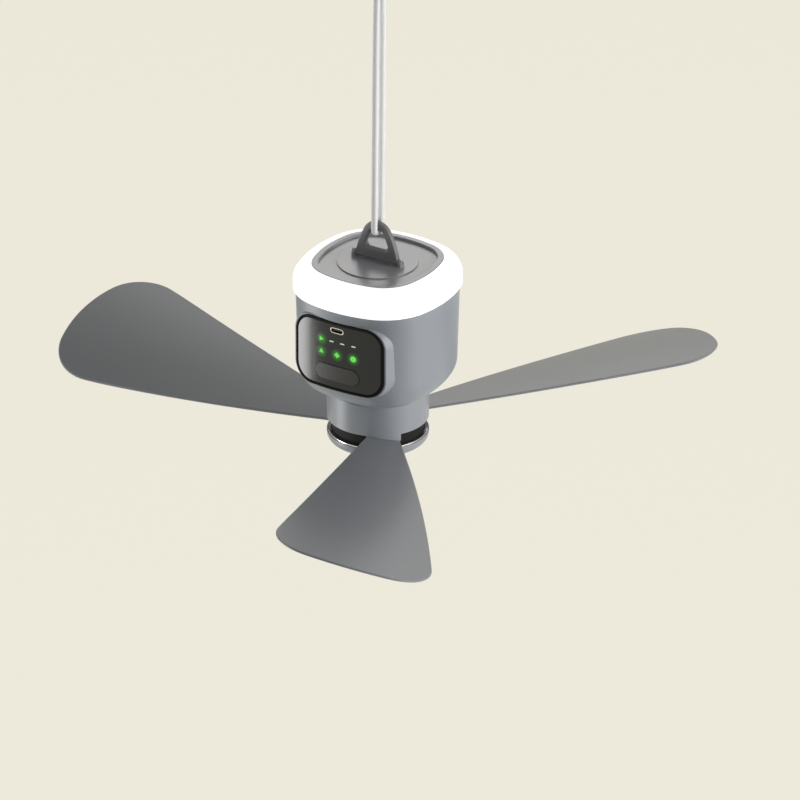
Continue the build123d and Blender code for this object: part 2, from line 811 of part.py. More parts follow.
with BuildPart() as control_panel:
    add(curved_plate(panel_outline(-bezel_width - slip_gap), 0, panel_thickness))
    fillet(control_panel.faces().sort_by(Axis.Y)[0].edges(), panel_edge_round)
    with BuildSketch(panel_plane.offset(board_reach)):
        with GridLocations(2 * board_post_x, 2 * board_post_z, 2, 2):
            Circle(board_post_radius)
    extrude(amount=post_length)
    with BuildSketch(panel_plane):
        add(button_outline(slip_gap))
        add(usb_outline(slip_gap))
        add(green_marks(running_gap))
        add(white_bars(running_gap))
    extrude(amount=face_radius, mode=Mode.SUBTRACT)
    with BuildSketch(panel_plane.offset(board_reach)):
        with GridLocations(2 * board_post_x, 2 * board_post_z, 2, 2):
            Circle(small_screw_radius)
    extrude(amount=post_length - panel_thickness / 2, mode=Mode.SUBTRACT)
write(control_panel, "control_panel")

pipe_rear = board_reach + chip_height + light_pipe_gap
with BuildPart() as green_indicators:
    add(curved_block(green_marks(0), pipe_rear, 0))
write(green_indicators, "green_indicators")

with BuildPart() as white_level_bars:
    add(curved_block(white_bars(0), pipe_rear, 0))
write(white_level_bars, "white_level_bars")

# Power button: a capsule held behind the panel by its flange, with a stem over the switch
flange_drop = panel_thickness + slip_gap
stem_reach = board_reach + switch_height + switch_plunger + button_travel + button_press_gap
with BuildPart() as power_button:
    add(curved_plate(button_outline(0), button_proud, button_proud + flange_drop + button_flange))
    add(curved_plate(button_outline(button_flange_border), -flange_drop, button_flange))
    with BuildSketch(panel_plane.offset(stem_reach)):
        with Locations((0, -button_drop)):
            Circle(button_stem_radius)
    extrude(amount=face_reach - flange_drop - button_flange / 2 - stem_reach)
write(power_button, "power_button")

# Charging port: a capsule-shaped metal shell on the board, with its contact tongue
with BuildPart() as usb_port_shell:
    with BuildSketch(panel_plane.offset(board_reach)):
        add(usb_outline(0))
    extrude(amount=face_reach - usb_set_back - board_reach)
    with BuildSketch(panel_plane.offset(board_reach + usb_back_wall)):
        add(usb_outline(-usb_wall))
    extrude(amount=face_reach, mode=Mode.SUBTRACT)
write(usb_port_shell, "usb_port_shell")

with BuildPart() as usb_port_tongue:
    with BuildSketch(panel_plane.offset(board_reach + usb_back_wall)):
        with Locations((0, usb_rise)):
            Rectangle(usb_tongue_width, usb_tongue_height)
    extrude(amount=face_reach - usb_tongue_set_back - board_reach - usb_back_wall)
write(usb_port_tongue, "usb_port_tongue")

# Control board with its screws, lamps and switch
with BuildPart() as control_board:
    with BuildSketch(panel_plane.offset(board_reach - board_thickness)):
        RectangleRounded(board_width, board_height, board_corner)
        with GridLocations(2 * board_post_x, 2 * board_post_z, 2, 2):
            Circle(small_screw_radius, mode=Mode.SUBTRACT)
    extrude(amount=board_thickness)
write(control_board, "control_board")

with BuildPart(panel_plane.offset(board_reach - board_thickness)) as board_screws:
    with GridLocations(2 * board_post_x, 2 * board_post_z, 2, 2):
        add(screw(small_screw_radius, post_length, small_head_radius, small_head_height))
write(board_screws, "board_screws")

with BuildPart() as indicator_leds:
    with BuildSketch(panel_plane.offset(board_reach)):
        with Locations(*lamp_places()):
            Rectangle(chip_size, chip_size)
    extrude(amount=chip_height)
write(indicator_leds, "indicator_leds")

with BuildPart() as tact_switch:
    with BuildSketch(panel_plane.offset(board_reach)):
        with Locations((0, -button_drop)):
            Rectangle(switch_size, switch_size)
    extrude(amount=switch_height)
    with BuildSketch(panel_plane.offset(board_reach + switch_height)):
        with Locations((0, -button_drop)):
            Circle(switch_plunger_radius)
    extrude(amount=switch_plunger)
write(tact_switch, "tact_switch")

# Battery pack: four cells across a tray, joined by strips, with a guard board on one end
cell_places = [(side * cell_side, cell_z + row * cell_step) for side in (-1, 1) for row in (0, 1)]
pack_middle_z = cell_z + cell_step / 2
with BuildPart() as battery_cells:
    with BuildSketch(Plane.YZ.offset(-cell_length / 2)):
        with Locations(*cell_places):
            Circle(cell_radius)
    extrude(amount=cell_length)
write(battery_cells, "battery_cells")

with BuildPart() as cell_strips:
    for side in (-1, 1):
        with BuildSketch(Plane.YZ.offset(side * cell_length / 2)):
            with Locations((-cell_side, pack_middle_z), (cell_side, pack_middle_z)):
                Rectangle(strip_width, cell_step + 2 * strip_overlap)
        extrude(amount=side * strip_thickness)
write(cell_strips, "cell_strips")

with BuildPart() as battery_tray:
    with BuildSketch(Plane.XY.offset(tray_z)):
        Rectangle(tray_length, tray_depth)
    extrude(amount=tray_base)
    with BuildSketch(Plane.XY.offset(tray_top_z)):
        with GridLocations(tray_length - tray_wall, 0, 2, 1):
            Rectangle(tray_wall, tray_depth)
    extrude(amount=2 * cell_step)
    with BuildSketch(Plane.XY.offset(tray_top_z - screw_head_height)):
        with GridLocations(2 * tray_post_x, 2 * tray_post_y, 2, 2):
            Circle(screw_head_radius + slip_gap)
    extrude(amount=screw_head_height, mode=Mode.SUBTRACT)
    with BuildSketch(Plane.XY.offset(tray_z)):
        with GridLocations(2 * tray_post_x, 2 * tray_post_y, 2, 2):
            Circle(screw_radius + slip_gap)
    extrude(amount=tray_base, mode=Mode.SUBTRACT)
write(battery_tray, "battery_tray")

tray_screw_bite = screw_bite + tray_base - screw_head_height
with BuildPart(Plane(origin=(0, 0, tray_top_z - screw_head_height), z_dir=(0, 0, -1))) as tray_screws:
    with GridLocations(2 * tray_post_x, 2 * tray_post_y, 2, 2):
        add(screw(screw_radius, tray_screw_bite, screw_head_radius, screw_head_height))
write(tray_screws, "tray_screws")

with BuildPart() as battery_board:
    with BuildSketch(Plane.YZ.offset(tray_length / 2)):
        with Locations((0, pack_middle_z)):
            Rectangle(battery_board_width, battery_board_height)
    extrude(amount=battery_board_thickness)
write(battery_board, "battery_board")

# Motor, fixed side: a base with a bearing tube that hangs into the hub and carries the stator
with BuildPart() as motor_base:
    with BuildSketch(Plane.XY.offset(floor_top_z)):
        Circle(base_radius)
        with PolarLocations(base_screw_place, motor_screw_count):
            Circle(screw_radius + slip_gap, mode=Mode.SUBTRACT)
    extrude(amount=base_flange)
    with BuildSketch(Plane.XY.offset(stator_top_z)):
        Circle(tube_radius + tube_shoulder)
    extrude(amount=floor_top_z - stator_top_z)
    with BuildSketch(Plane.XY.offset(tube_z)):
        Circle(tube_radius)
    extrude(amount=stator_top_z - tube_z)
    with BuildSketch(Plane.XY.offset(tube_z)):
        Circle(bearing_radius - bearing_step)
    extrude(amount=flange_top_z - tube_z, mode=Mode.SUBTRACT)
    with BuildSketch(Plane.XY.offset(tube_z), Plane.XY.offset(flange_top_z - bearing_width)):
        Circle(bearing_radius)
    extrude(amount=bearing_width, mode=Mode.SUBTRACT)
write(motor_base, "motor_base")

with BuildPart(Plane(origin=(0, 0, flange_top_z), z_dir=(0, 0, -1), x_dir=(1, 0, 0))) as base_screws:
    with PolarLocations(base_screw_place, motor_screw_count):
        add(screw(screw_radius, base_flange + base_screw_bite, screw_head_radius, screw_head_height))
write(base_screws, "base_screws")

for name, level in (("lower_bearing", tube_z), ("upper_bearing", flange_top_z - bearing_width)):
    with BuildPart() as bearing:
        with BuildSketch(Plane.XY.offset(level)):
            Circle(bearing_radius)
            Circle(shaft_radius + running_gap, mode=Mode.SUBTRACT)
        extrude(amount=bearing_width)
    write(bearing, name)

tooth_inner = tube_radius + stator_yoke
tooth_outer = stator_radius - stator_tip
tooth_length = tooth_outer - tooth_inner
tooth_middle = (tooth_outer + tooth_inner) / 2
with BuildPart() as stator_core:
    with BuildSketch(Plane.XY.offset(stator_z)):
        Circle(stator_radius)
        Circle(tooth_outer, mode=Mode.SUBTRACT)
        with PolarLocations(stator_radius, tooth_count, start_angle=180 / tooth_count):
            Rectangle(2 * stator_tip + overrun, stator_slot, mode=Mode.SUBTRACT)
        Circle(tooth_inner)
        with PolarLocations(tooth_middle, tooth_count):
            Rectangle(tooth_length + stator_tip, tooth_width)
        Circle(tube_radius, mode=Mode.SUBTRACT)
    extrude(amount=stator_height)
write(stator_core, "stator_core")

coil_length = tooth_length - 2 * coil_end_gap
with BuildPart() as stator_coils:
    with BuildSketch(Plane.XY.offset(stator_z - coil_overhang)):
        with PolarLocations(tooth_middle, tooth_count):
            Rectangle(coil_length, tooth_width + 2 * coil_wall)
    extrude(amount=stator_height + 2 * coil_overhang)
    with BuildSketch(Plane.XY.offset(stator_z)):
        with PolarLocations(tooth_middle, tooth_count):
            Rectangle(tooth_length, tooth_width)
    extrude(amount=stator_height, mode=Mode.SUBTRACT)
write(stator_coils, "stator_coils")

with BuildPart() as motor_board:
    with BuildSketch(Plane.XY.offset(floor_z - motor_board_drop)):
        Circle(motor_board_radius)
        Circle(tube_radius + tube_shoulder, mode=Mode.SUBTRACT)
    extrude(amount=-motor_board_thickness)
write(motor_board, "motor_board")

# Motor, turning side: a steel can with its magnet, on a shaft that hangs by a clip
with BuildPart() as rotor_can:
    with BuildSketch(Plane.XY.offset(can_z)):
        Circle(can_radius)
    extrude(amount=can_height)
    with BuildSketch(Plane.XY.offset(can_floor_z)):
        Circle(can_radius - can_wall)
    extrude(amount=can_height, mode=Mode.SUBTRACT)
    with BuildSketch(Plane.XY.offset(web_z)):
        Circle(can_boss_radius)
    extrude(amount=web_thickness)
    with BuildSketch(Plane.XY.offset(web_z)):
        Circle(shaft_radius)
        with PolarLocations(hub_screw_place, motor_screw_count, start_angle=gap_turn):
            Circle(screw_radius)
    extrude(amount=can_height, mode=Mode.SUBTRACT)
write(rotor_can, "rotor_can")

with BuildPart() as magnet_ring:
    with BuildSketch(Plane.XY.offset(can_floor_z + magnet_rise)):
        Circle(can_radius - can_wall)
        Circle(can_radius - can_wall - magnet_thickness, mode=Mode.SUBTRACT)
    extrude(amount=can_height - can_wall - 2 * magnet_rise)
write(magnet_ring, "magnet_ring")

clip_z = flange_top_z + clip_gap
with BuildPart() as motor_shaft:
    with BuildSketch(Plane.XY.offset(web_z)):
        Circle(shaft_radius)
    extrude(amount=clip_z + clip_height + shaft_above_clip - web_z)
write(motor_shaft, "motor_shaft")

with BuildPart() as shaft_clip:
    with BuildSketch(Plane.XY.offset(clip_z)):
        Circle(clip_radius)
        Circle(shaft_radius, mode=Mode.SUBTRACT)
    extrude(amount=clip_height)
write(shaft_clip, "shaft_clip")

# Hub: the turning neck, with a tab over each blade root
tab_width = blade_root_lead + blade_root_trail + 2 * tab_margin
tab_side = (blade_root_trail - blade_root_lead) / 2
tab_drop = skirt_above_blade + carrier_below_blade / 2
with BuildPart() as skirt_tabs:
    with BuildSketch(Plane.XY.offset(skirt_z)):
        Circle(hub_radius)
        Circle(hub_radius - hub_wall, mode=Mode.SUBTRACT)
    extrude(amount=-tab_drop)
    with BuildSketch(Plane.XY.offset(skirt_z)):
        with PolarLocations(hub_radius, blade_count, start_angle=first_blade_angle):
            with Locations((0, tab_side)):
                Rectangle(hub_radius, tab_width)
    extrude(amount=-tab_drop, mode=Mode.INTERSECT)
    with PolarLocations(0, blade_count, start_angle=first_blade_angle):
        add(blade_slab(tab_gap, hub_height), mode=Mode.SUBTRACT)

with BuildPart() as hub_shell:
    with BuildSketch(Plane.XY.offset(skirt_z)):
        Circle(hub_radius)
    extrude(amount=hub_height)
    fillet(hub_shell.faces().sort_by(Axis.Z)[-1].edges(), hub_edge_round)
    with BuildSketch(Plane.XY.offset(can_z)):
        Circle(hub_radius - hub_wall)
    extrude(amount=hub_height, mode=Mode.SUBTRACT)
    with BuildSketch(Plane.XY.offset(skirt_z)):
        Circle(hub_radius - hub_wall)
    extrude(amount=web_above_skirt, mode=Mode.SUBTRACT)
    with BuildSketch(Plane.XY.offset(web_z)):
        Circle(can_boss_radius + slip_gap)
        with PolarLocations(hub_screw_place, motor_screw_count, start_angle=gap_turn):
            Circle(screw_radius + slip_gap)
        with PolarLocations(carrier_screw_place, blade_count, start_angle=gap_turn):
            Circle(screw_radius)
    extrude(amount=web_thickness, mode=Mode.SUBTRACT)
    add(skirt_tabs.part)
write(hub_shell, "hub_shell")

with BuildPart() as hub_screws:
    with PolarLocations(hub_screw_place, motor_screw_count, start_angle=gap_turn):
        with Locations((0, 0, web_z)):
            add(screw(screw_radius, web_thickness + can_wall, screw_head_radius, screw_head_height))
write(hub_screws, "hub_screws")

# Blades: one twisted, arched blade, repeated round the hub
blade_screw_reaches = [blade_screw_reach + blade_screw_step * place for place in blade_screw_shares]
blade_screw_places = [(reach, pitch_side) for reach in blade_screw_reaches]
with BuildPart() as blade_blank:
    add(blade_slab(0, blade_thickness))
    with BuildSketch(Plane.XY.offset(blade_z - sweep_radius)):
        add(blade_outline())
    extrude(amount=sweep_diameter, mode=Mode.INTERSECT)
    chamfer(blade_blank.faces().sort_by(SortBy.AREA)[-2:].edges(), blade_edge_chamfer)
    with BuildSketch(Plane.XY.offset(blade_z - carrier_below_blade)):
        with Locations(*blade_screw_places):
            Circle(screw_radius)
    extrude(amount=carrier_below_blade + overrun, mode=Mode.SUBTRACT)

for number, turn in enumerate(blade_turns, start=1):
    with BuildPart() as blade:
        add(blade_blank.part, rotation=(0, 0, turn))
    write(blade, f"blade_{number}")

# Carrier: the black drum whose pockets hold the blade roots
pocket_inner = blade_root_reach - blade_tongue - blade_fit_gap
pocket_lead = -blade_root_lead - blade_fit_gap
pocket_trail = blade_root_trail + blade_fit_gap
with BuildPart() as blade_pocket:
    add(blade_slab(blade_fit_gap, blade_thickness + 2 * blade_fit_gap))
    with BuildSketch(Plane.XY.offset(blade_z - carrier_below_blade)):
        with Locations(((pocket_inner + hub_radius) / 2, (pocket_lead + pocket_trail) / 2)):
            Rectangle(hub_radius - pocket_inner, pocket_trail - pocket_lead)
    extrude(amount=2 * carrier_below_blade, mode=Mode.INTERSECT)

with BuildPart() as blade_carrier:
    with BuildSketch(Plane.XY.offset(carrier_z)):
        Circle(carrier_radius)
    extrude(amount=web_z - carrier_z)
    with BuildSketch(Plane.XY.offset(web_z)):
        Circle(carrier_recess_radius)
    extrude(amount=-carrier_recess, mode=Mode.SUBTRACT)
    with PolarLocations(0, blade_count, start_angle=first_blade_angle):
        add(blade_pocket.part, mode=Mode.SUBTRACT)
    with BuildSketch(Plane.XY.offset(carrier_z)):
        with PolarLocations(0, blade_count, start_angle=first_blade_angle):
            with Locations(*blade_screw_places):
                Circle(screw_radius + slip_gap)
    extrude(amount=carrier_below_blade, mode=Mode.SUBTRACT)
    with BuildSketch(Plane.XY.offset(carrier_z)):
        with PolarLocations(carrier_screw_place, blade_count, start_angle=gap_turn):
            Circle(screw_head_radius + slip_gap)
    extrude(amount=carrier_screw_seat, mode=Mode.SUBTRACT)
    with BuildSketch(Plane.XY.offset(carrier_z)):
        with PolarLocations(carrier_screw_place, blade_count, start_angle=gap_turn):
            Circle(screw_radius + slip_gap)
    extrude(amount=web_z - carrier_z, mode=Mode.SUBTRACT)
    with BuildSketch(Plane.XY.offset(carrier_z)):
        with PolarLocations(cap_screw_place, blade_count, start_angle=gap_turn):
            Circle(screw_radius)
    extrude(amount=screw_bite, mode=Mode.SUBTRACT)
write(blade_carrier, "blade_carrier")

blade_screw_bite = carrier_below_blade - blade_screw_short
with BuildPart() as blade_screws:
    with PolarLocations(0, blade_count, start_angle=first_blade_angle):
        with Locations(*[(reach, pitch_side, carrier_z) for reach in blade_screw_reaches]):
            add(screw(screw_radius, blade_screw_bite, screw_head_radius, screw_head_height))
write(blade_screws, "blade_screws")

with BuildPart() as carrier_screws:
    with PolarLocations(carrier_screw_place, blade_count, start_angle=gap_turn):
        with Locations((0, 0, carrier_z + carrier_screw_seat)):
            add(screw(screw_radius, carrier_screw_bite, screw_head_radius, screw_head_height))
write(carrier_screws, "carrier_screws")

# Bottom cap with its bright ring and screws
with BuildPart() as chrome_ring:
    with BuildSketch(Plane.XY.offset(cap_rim_z)):
        Circle(hub_radius - chrome_set_back)
        Circle(carrier_radius + swing_gap, mode=Mode.SUBTRACT)
    extrude(amount=chrome_height)
write(chrome_ring, "chrome_ring")

cap_seat_z = cap_z + cap_screw_seat
with BuildPart() as bottom_cap:
    with BuildSketch(Plane.XY.offset(cap_z)):
        Circle(hub_radius)
    extrude(amount=cap_rim_z - cap_z)
    fillet(bottom_cap.faces().sort_by(Axis.Z)[0].edges(), cap_round)
    with BuildSketch(Plane.XY.offset(carrier_z)):
        Circle(carrier_radius + swing_gap)
    extrude(amount=carrier_below_blade, mode=Mode.SUBTRACT)
    with BuildSketch(Plane.XY.offset(carrier_z)):
        Circle(cap_hollow_outer)
        Circle(cap_hollow_inner, mode=Mode.SUBTRACT)
    extrude(amount=-cap_hollow, mode=Mode.SUBTRACT)
    with BuildSketch(Plane.XY.offset(cap_seat_z)):
        with PolarLocations(cap_screw_place, blade_count, start_angle=gap_turn):
            Circle(screw_head_radius + slip_gap)
    extrude(amount=-cap_screw_seat - overrun, mode=Mode.SUBTRACT)
    with BuildSketch(Plane.XY.offset(cap_seat_z)):
        with PolarLocations(cap_screw_place, blade_count, start_angle=gap_turn):
            Circle(screw_radius + slip_gap)
    extrude(amount=carrier_z - cap_seat_z + overrun, mode=Mode.SUBTRACT)
write(bottom_cap, "bottom_cap")

cap_screw_bite = carrier_z - cap_seat_z + screw_bite
with BuildPart() as cap_screws:
    with PolarLocations(cap_screw_place, blade_count, start_angle=gap_turn):
        with Locations((0, 0, cap_seat_z)):
            add(screw(screw_radius, cap_screw_bite, screw_head_radius, screw_head_height))
write(cap_screws, "cap_screws")
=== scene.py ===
"""Dressed scene of a rechargeable hanging fan with a lamp ring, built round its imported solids."""

from __future__ import annotations

import logging
import math
from dataclasses import dataclass
from enum import Enum
from typing import Any, Iterable

import bpy
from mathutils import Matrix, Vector

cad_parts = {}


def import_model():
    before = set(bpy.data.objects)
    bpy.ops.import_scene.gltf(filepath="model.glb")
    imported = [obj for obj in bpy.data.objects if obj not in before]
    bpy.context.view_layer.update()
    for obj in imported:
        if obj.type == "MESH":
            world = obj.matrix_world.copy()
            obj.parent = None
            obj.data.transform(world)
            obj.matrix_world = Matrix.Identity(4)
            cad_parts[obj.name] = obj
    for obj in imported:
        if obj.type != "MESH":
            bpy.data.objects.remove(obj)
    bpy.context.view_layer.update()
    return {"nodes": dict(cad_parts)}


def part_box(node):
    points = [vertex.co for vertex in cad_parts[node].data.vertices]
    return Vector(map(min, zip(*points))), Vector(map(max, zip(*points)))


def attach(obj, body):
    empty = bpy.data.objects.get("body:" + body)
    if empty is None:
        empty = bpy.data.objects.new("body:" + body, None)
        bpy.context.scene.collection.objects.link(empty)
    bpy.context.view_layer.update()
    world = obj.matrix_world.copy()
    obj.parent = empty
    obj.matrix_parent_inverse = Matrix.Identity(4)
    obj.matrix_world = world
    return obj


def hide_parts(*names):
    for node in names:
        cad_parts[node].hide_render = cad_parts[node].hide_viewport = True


LOG = logging.getLogger("hanging_fan")
MM = 0.001
Link = tuple[bpy.types.Node, str]

# Sockets of a colour mix, whose names are those of its number and vector sockets too
MIX_FIRST = 6
MIX_SECOND = 7
MIX_RESULT = 2
# Radians of wave that a wave texture lays in one metre at a scale of 1
WAVE_RADIANS = 20
# Rays that soften an edge
EDGE_SAMPLES = 6
# Octaves of the slow drift, of fine surface marks and of lamps behind a window
DRIFT_DETAIL = 3.0
FINE_DETAIL = 2.0
LAMP_DETAIL = 1.0
# Strength of the finer octaves in the slow drift
DRIFT_ROUGHNESS = 0.55
# Order of the smooth line through a cord's route
ROUTE_ORDER = 3


def linear(hex_shade: str) -> tuple[float, float, float, float]:
    """Turn an sRGB hex shade into linear light.

    Args:
        hex_shade: Six hex digits after a hash sign.

    Returns:
        Red, green, blue and a full alpha.
    """
    values = [int(hex_shade[place:place + 2], 16) / 255 for place in (1, 3, 5)]
    curve = [v / 12.92 if v <= 0.04045 else ((v + 0.055) / 1.055) ** 2.4 for v in values]
    return (curve[0], curve[1], curve[2], 1.0)


def per_metre(size_mm: float) -> float:
    """Return the texture scale whose feature is that many millimetres across."""
    return 1.0 / (size_mm * MM)


def add_node(tree: bpy.types.NodeTree, kind: str, settings: dict[Any, Any] | None = None,
             links: dict[Any, Link] | None = None) -> bpy.types.Node:
    """Add one shader node with its settings and links.

    Args:
        tree: The node tree it goes in.
        kind: Blender's name for the kind of node.
        settings: Input or property names with their values.
        links: Input names with the node and output that feed each.

    Returns:
        The new node.
    """
    node = tree.nodes.new(kind)
    for name, value in (settings or {}).items():
        if isinstance(name, str) and hasattr(node, name):
            setattr(node, name, value)
        else:
            node.inputs[name].default_value = value
    for name, (source, output) in (links or {}).items():
        tree.links.new(source.outputs[output], node.inputs[name])
    return node


@dataclass(frozen=True)
class Ground:
    """A material while it is being made.

    Attributes:
        tree: Its node tree.
        shader: Its main shader.
        place: The texture coordinates.
        edges: The surface's normal with softened edges.
    """

    tree: bpy.types.NodeTree
    shader: bpy.types.Node
    place: Link
    edges: Link

    def feed(self, socket: str, source: Link) -> None:
        """Link a source to one of the shader's sockets."""
        self.tree.links.new(source[0].outputs[source[1]], self.shader.inputs[socket])

    def noise(self, size_mm: float, detail: float, roughness: float = 0.5,
              place: Link | None = None) -> Link:
        """Add a noise over the surface.

        Args:
            size_mm: Size of its features.
            detail: Octaves of finer noise in it.
            roughness: How strong those octaves are.
            place: Its coordinates, where they aren't the plain ones.

        Returns:
            The noise, from 0 to 1.
        """
        cloud = add_node(
            self.tree, "ShaderNodeTexNoise",
            {"Scale": per_metre(size_mm), "Detail": detail, "Roughness": roughness},
            {"Vector": place or self.place},
        )
        return (cloud, "Fac")

    def span(self, share: Link, low: float, high: float) -> Link:
        """Spread a share over a range.

        Args:
            share: A value from 0 to 1.
            low: What 0 becomes.
            high: What 1 becomes.

        Returns:
            The value in the range.
        """
        spread = add_node(self.tree, "ShaderNodeMapRange", {"To Min": low, "To Max": high}, {"Value": share})
        return (spread, "Result")

    def tint(self, share: Link, first: str, second: str) -> None:
        """Colour the surface with two shades.

        Args:
            share: How much of the second shade shows.
            first: Shade where the share is 0.
            second: Shade where it is 1.
        """
        tone = add_node(
            self.tree, "ShaderNodeMix",
            {"data_type": "RGBA", MIX_FIRST: linear(first), MIX_SECOND: linear(second)}, {0: share},
        )
        self.tree.links.new(tone.outputs[MIX_RESULT], self.shader.inputs["Base Color"])

    def raise_by(self, height: Link, depth_mm: float, strength: float) -> None:
        """Raise marks on the surface.

        Args:
            height: Their height, from 0 to 1.
            depth_mm: Millimetres that a height of 1 stands up.
            strength: How much of it shows in the light.
        """
        bump = add_node(
            self.tree, "ShaderNodeBump", {"Strength": strength, "Distance": depth_mm * MM},
            {"Height": height, "Normal": self.edges},
        )
        self.feed("Normal", (bump, "Normal"))


@dataclass(frozen=True)
class Finish:
    """One real material and how its surface was made.

    Attributes:
        name: The material's name.
        shade: Its main colour.
        roughness: How matt it is.
        ior: Its index of refraction.
        metallic: 1 for bare metal.
        second_shade: The colour it drifts to.
        drift_mm: How far apart the drifts of colour and gloss lie.
        gloss_drift: How much the roughness drifts.
        edge_mm: Radius of the softened edges.
        specular: Share of its mirror light; under 0.5 where fine pits in the surface swallow some.
    """

    name: str
    shade: str
    roughness: float
    ior: float = 1.5
    metallic: float = 0.0
    second_shade: str = ""
    drift_mm: float = 40.0
    gloss_drift: float = 0.04
    edge_mm: float = 0.25
    specular: float = 0.5

    def build(self) -> bpy.types.Material:
        """Make the Blender material.

        Returns:
            The material, with its nodes linked.
        """
        material = bpy.data.materials.new(self.name)
        material.use_nodes = True
        tree = material.node_tree
        shader = tree.nodes["Principled BSDF"]
        shader.inputs["Base Color"].default_value = linear(self.shade)
        shader.inputs["Roughness"].default_value = self.roughness
        shader.inputs["IOR"].default_value = self.ior
        shader.inputs["Metallic"].default_value = self.metallic
        shader.inputs["Specular IOR Level"].default_value = self.specular
        place = add_node(tree, "ShaderNodeTexCoord")
        edges = add_node(tree, "ShaderNodeBevel", {"samples": EDGE_SAMPLES, "Radius": self.edge_mm * MM})
        ground = Ground(tree, shader, (place, "Object"), (edges, "Normal"))
        ground.feed("Normal", ground.edges)
        self.drift(ground)
        self.surface(ground)
        return material

    def drift(self, ground: Ground) -> None:
        """Let colour and gloss drift slowly over the surface.

        Args:
            ground: The material being made.
        """
        cloud = ground.noise(self.drift_mm, DRIFT_DETAIL, DRIFT_ROUGHNESS)
        ground.tint(cloud, self.shade, self.second_shade or self.shade)
        gloss = ground.span(cloud, self.roughness - self.gloss_drift, self.roughness + self.gloss_drift)
        ground.feed("Roughness", gloss)

    def surface(self, ground: Ground) -> None:
        """Add what the making left on the surface: nothing on a plain one."""


@dataclass(frozen=True)
class MouldedPlastic(Finish):
    """Moulded from a spark-eroded tool, or pressed from powder: an even fine grain that breaks up the gloss.

    Attributes:
        grain_mm: Size of the grain, drawn coarser than the real 0.1 mm so that it shows.
        grain_depth_mm: Height of the grain.
        grain_roughness: How strong its finer octaves are.
        grain_strength: How much of it shows in the light.
    """

    grain_mm: float = 0.9
    grain_depth_mm: float = 0.012
    grain_roughness: float = 0.6
    grain_strength: float = 0.5

    def surface(self, ground: Ground) -> None:
        """Raise the mould's grain."""
        grain = ground.noise(self.grain_mm, FINE_DETAIL, self.grain_roughness)
        ground.raise_by(grain, self.grain_depth_mm, self.grain_strength)


@dataclass(frozen=True)
class BrushedMetal(Finish):
    """Drawn, turned or plated metal: fine lines along one way stretch its highlights.

    Attributes:
        line_mm: Spacing of the lines, drawn coarser than the real ones so that they show.
        line_depth_mm: Height of the lines.
        line_strength: How much of them shows in the light.
        stretch: Scale of the lines along X, Y and Z; a small one draws them out that way.
    """

    line_mm: float = 0.5
    line_depth_mm: float = 0.004
    line_strength: float = 0.25
    stretch: tuple[float, float, float] = (1.0, 1.0, 0.04)

    def surface(self, ground: Ground) -> None:
        """Draw the lines by stretching a noise.

        Args:
            ground: The material being made.
        """
        along = add_node(ground.tree, "ShaderNodeMapping", {"Scale": self.stretch}, {"Vector": ground.place})
        lines = ground.noise(self.line_mm, FINE_DETAIL, place=(along, "Vector"))
        ground.raise_by(lines, self.line_depth_mm, self.line_strength)


@dataclass(frozen=True)
class LitPlastic(Finish):
    """Opal or clear plastic lit from behind, so that it glows by itself.

    Attributes:
        glow: Colour of its light.
        power: Brightness, where 1 shows as the colour itself.
        dip: How much dimmer it is between the lamps behind it.
        lamp_mm: Spacing of those lamps.
    """

    glow: str = "#ffffff"
    power: float = 1.0
    dip: float = 0.04
    lamp_mm: float = 9.0

    def surface(self, ground: Ground) -> None:
        """Light the surface, a little dimmer between the lamps behind it.

        Args:
            ground: The material being made.
        """
        ground.shader.inputs["Emission Color"].default_value = linear(self.glow)
        spots = ground.noise(self.lamp_mm, LAMP_DETAIL)
        ground.feed("Emission Strength", ground.span(spots, self.power * (1 - self.dip), self.power))


@dataclass(frozen=True)
class BraidedCord(Finish):
    """Polyester cord from a braiding machine: yarns cross over and under, with a soft sheen.

    Attributes:
        yarn_mm: Width of a bundle of filaments in a yarn.
        yarn_depth_mm: Height of those bundles.
        yarn_strength: How much of them shows in the light.
        sheen: Share of light that the loose filaments scatter.
        sheen_roughness: How wide they scatter it.
    """

    yarn_mm: float = 0.25
    yarn_depth_mm: float = 0.03
    yarn_strength: float = 0.4
    sheen: float = 0.25
    sheen_roughness: float = 0.4

    def surface(self, ground: Ground) -> None:
        """Add the filaments of the yarns over the braid that the mesh has.

        Args:
            ground: The material being made.
        """
        ground.shader.inputs["Sheen Weight"].default_value = self.sheen
        ground.shader.inputs["Sheen Roughness"].default_value = self.sheen_roughness
        ground.raise_by(ground.noise(self.yarn_mm, FINE_DETAIL), self.yarn_depth_mm, self.yarn_strength)


@dataclass(frozen=True)
class WoundWire(Finish):
    """Enamelled copper wire laid turn on turn: bright round ridges.

    Attributes:
        pitch_mm: Spacing of the turns.
        ridge_mm: Height of a turn over the groove beside it.
        ridge_strength: How much of it shows in the light.
        waver: How far the turns stray from even.
    """

    pitch_mm: float = 0.7
    ridge_mm: float = 0.15
    ridge_strength: float = 0.8
    waver: float = 0.6

    def surface(self, ground: Ground) -> None:
        """Raise one ridge for each turn of wire.

        Args:
            ground: The material being made.
        """
        scale = per_metre(self.pitch_mm) * 2 * math.pi / WAVE_RADIANS
        turns = add_node(
            ground.tree, "ShaderNodeTexWave",
            {"bands_direction": "Z", "Scale": scale, "Distortion": self.waver}, {"Vector": ground.place},
        )
        ground.raise_by((turns, "Fac"), self.ridge_mm, self.ridge_strength)


